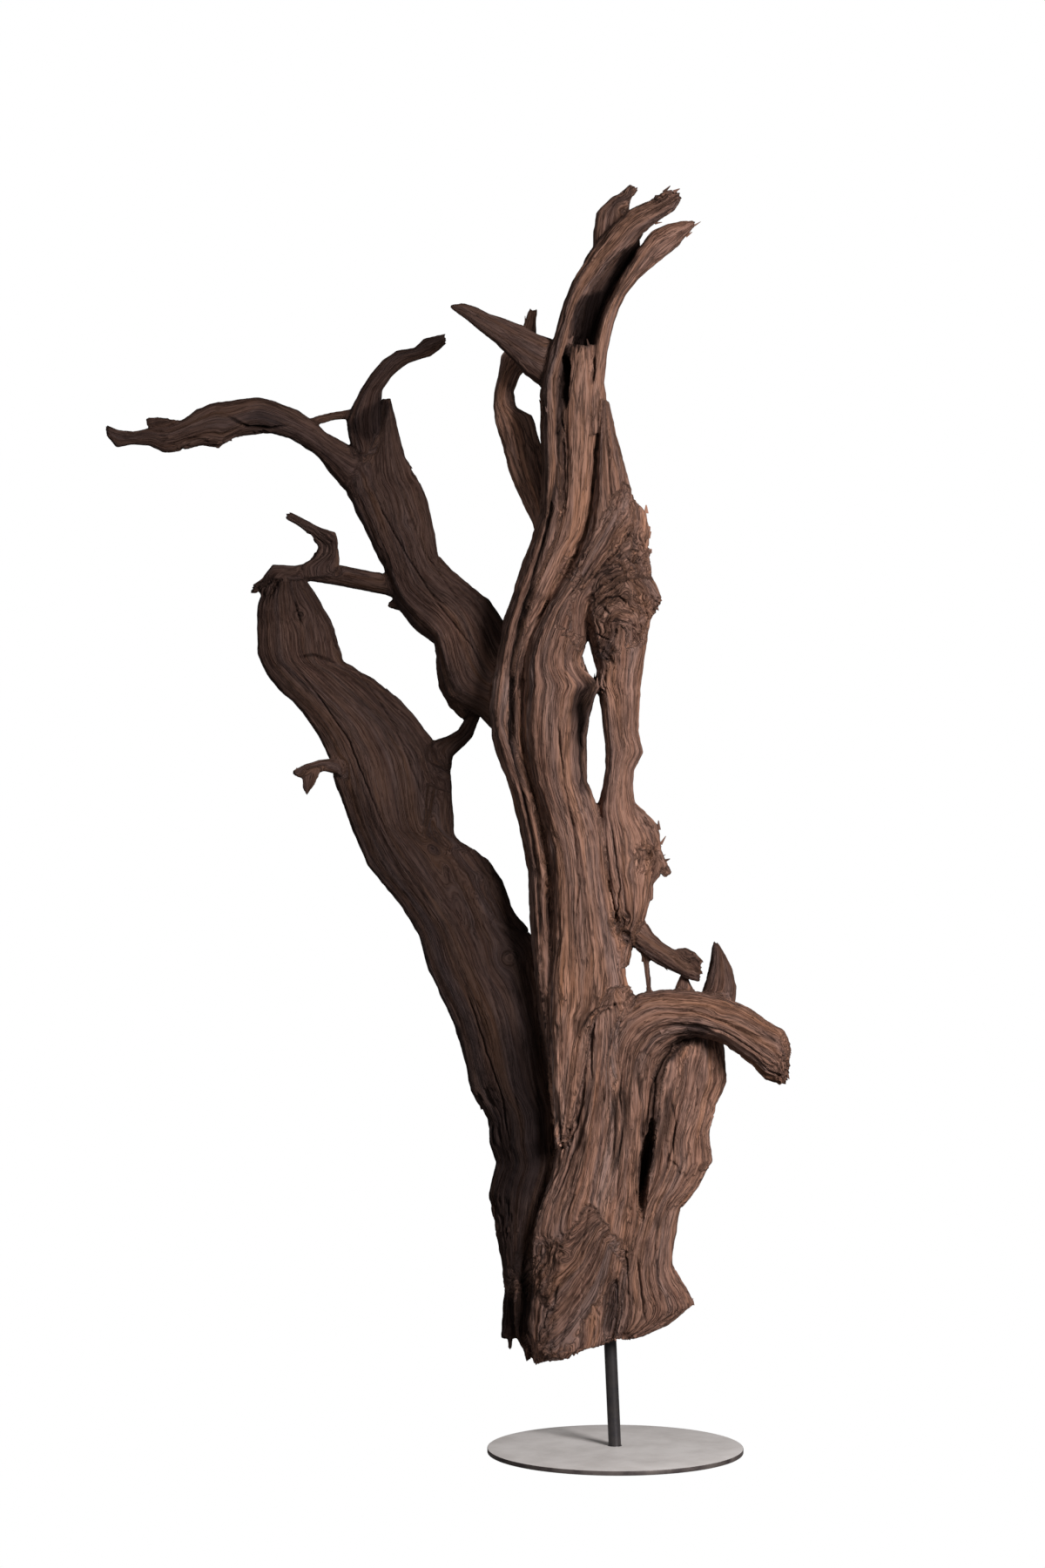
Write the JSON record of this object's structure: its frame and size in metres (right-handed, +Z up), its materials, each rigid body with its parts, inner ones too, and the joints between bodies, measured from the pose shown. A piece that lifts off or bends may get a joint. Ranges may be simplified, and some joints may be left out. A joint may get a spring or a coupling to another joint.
{
  "type": "driftwood sculpture on a stand",
  "caption": "Weathered piece of driftwood with a split trunk, leaning limbs and twigs, held upright by a steel rod on a round steel plate.",
  "frame": {"origin": "centre of the plate's underside", "axes": "+Z up, +X to the right and +Y away from a viewer in front, who sees the big arm on the right and the two limbs on the left"},
  "size_m": [0.9516, 0.3556, 1.7637],
  "materials": {
    "weathered_wood": "raw, weathered, grooved along the grain",
    "dark_steel": "dark oiled steel",
    "plate_steel": "satin, lightly mottled steel with a dark rim"
  },
  "bodies": {
    "root": {"driftwood": "weathered_wood", "rod": "dark_steel", "base_plate": "plate_steel"}
  },
  "joints": []
}
